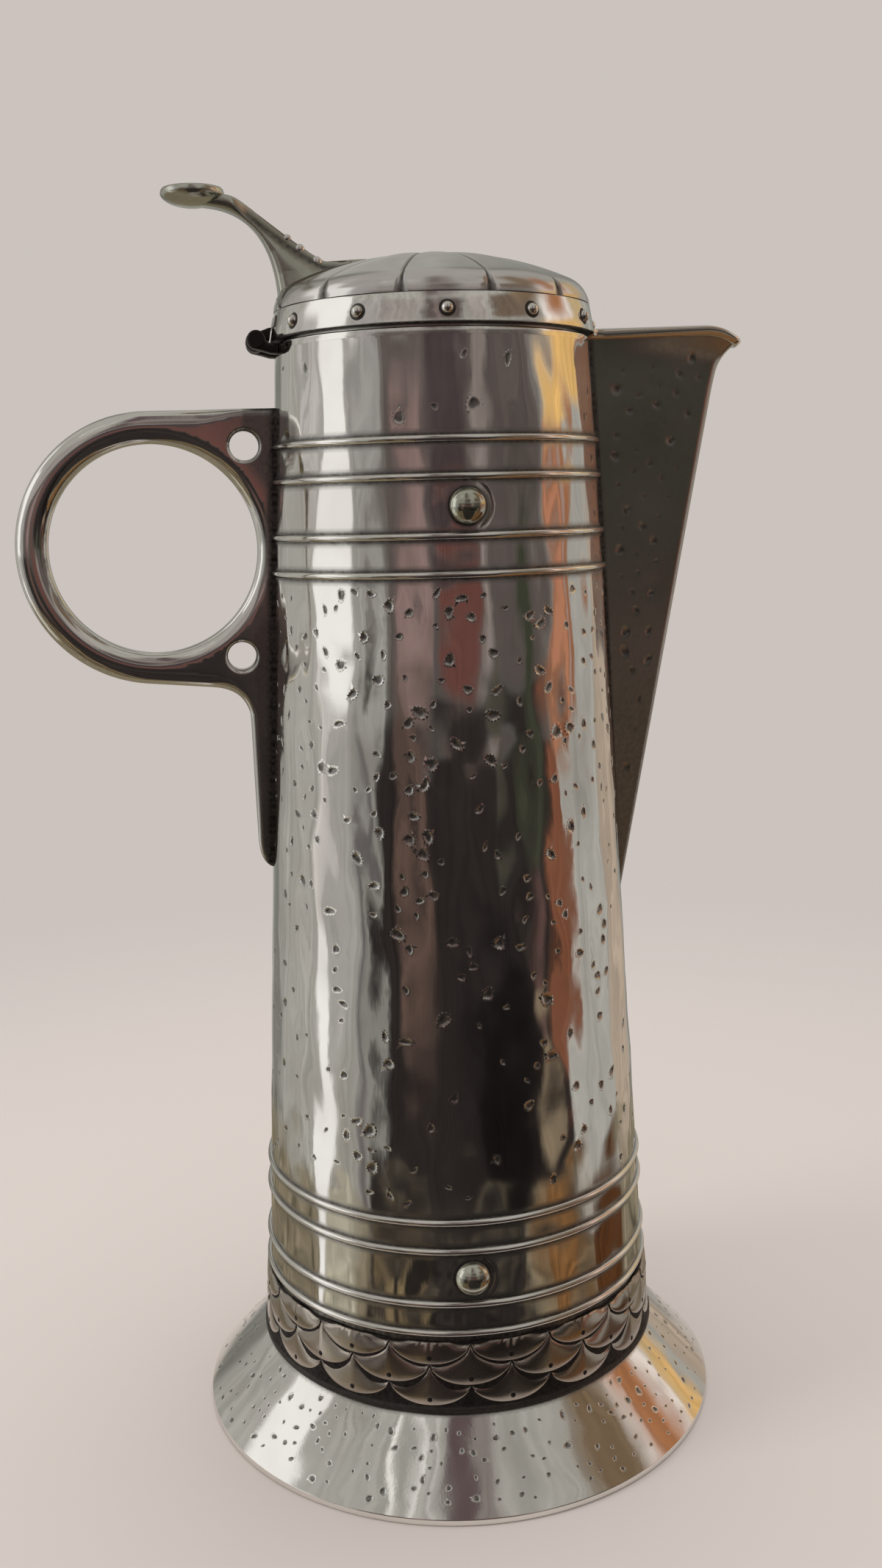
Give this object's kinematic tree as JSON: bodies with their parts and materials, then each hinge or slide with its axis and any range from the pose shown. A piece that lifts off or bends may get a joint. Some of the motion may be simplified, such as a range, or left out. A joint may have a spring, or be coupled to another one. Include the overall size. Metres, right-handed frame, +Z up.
{
  "type": "claret jug",
  "caption": "Tall tapered metal claret jug with a spreading foot, a narrow beak spout, a flat handle with a finger ring, and a domed lid on a hinge with a thumb lever.",
  "frame": {"origin": "middle of the foot's flat underside, on the table", "axes": "+Z up the jug, +X towards the spout, -X towards the handle, so the hinge axis is parallel to Y"},
  "size_m": [0.1937, 0.1446, 0.3311],
  "materials": {
    "hammered_silver": "polished silver plate with scattered hammer pits, dark in the pits",
    "polished_silver": "bright polished silver plate with fine scratches and dark seams",
    "oxidised_silver": "oxidised silver plate, dark in the recesses and rubbed bright on the high spots",
    "plain_silver": "satin silver plate"
  },
  "bodies": {
    "jug": {"body_shell": "hammered_silver", "spout_beak": "hammered_silver", "foot_skirt": "hammered_silver", "mouth_rim_wire": "polished_silver", "vessel_floor": "plain_silver", "base_plate": "plain_silver", "scale_band": "oxidised_silver", "spout_rim_strip": "polished_silver", "handle_casting": "polished_silver", "hinge_bracket": "oxidised_silver", "hinge_pin": "oxidised_silver", "upper_bosses": "polished_silver", "lower_bosses": "polished_silver", "upper_ring_1": "polished_silver", "lower_ring_1": "polished_silver", "upper_ring_2": "polished_silver", "lower_ring_2": "polished_silver", "upper_ring_3": "polished_silver", "lower_ring_3": "polished_silver", "upper_ring_4": "polished_silver", "lower_ring_4": "polished_silver"},
    "lid": {"lid_dome": "polished_silver", "lid_collar": "polished_silver", "lid_studs": "polished_silver", "lid_bezel": "plain_silver", "lid_hinge_leaf": "oxidised_silver", "thumb_lever": "polished_silver", "thumb_disc": "polished_silver", "thumb_beads": "polished_silver"}
  },
  "joints": [
    {"name": "lid_hinge", "type": "hinge", "parent": "jug", "child": "lid", "pos_m": [-0.046, 0, 0.2936], "axis": [0, -1, 0], "range_deg": [0, 78]}
  ]
}
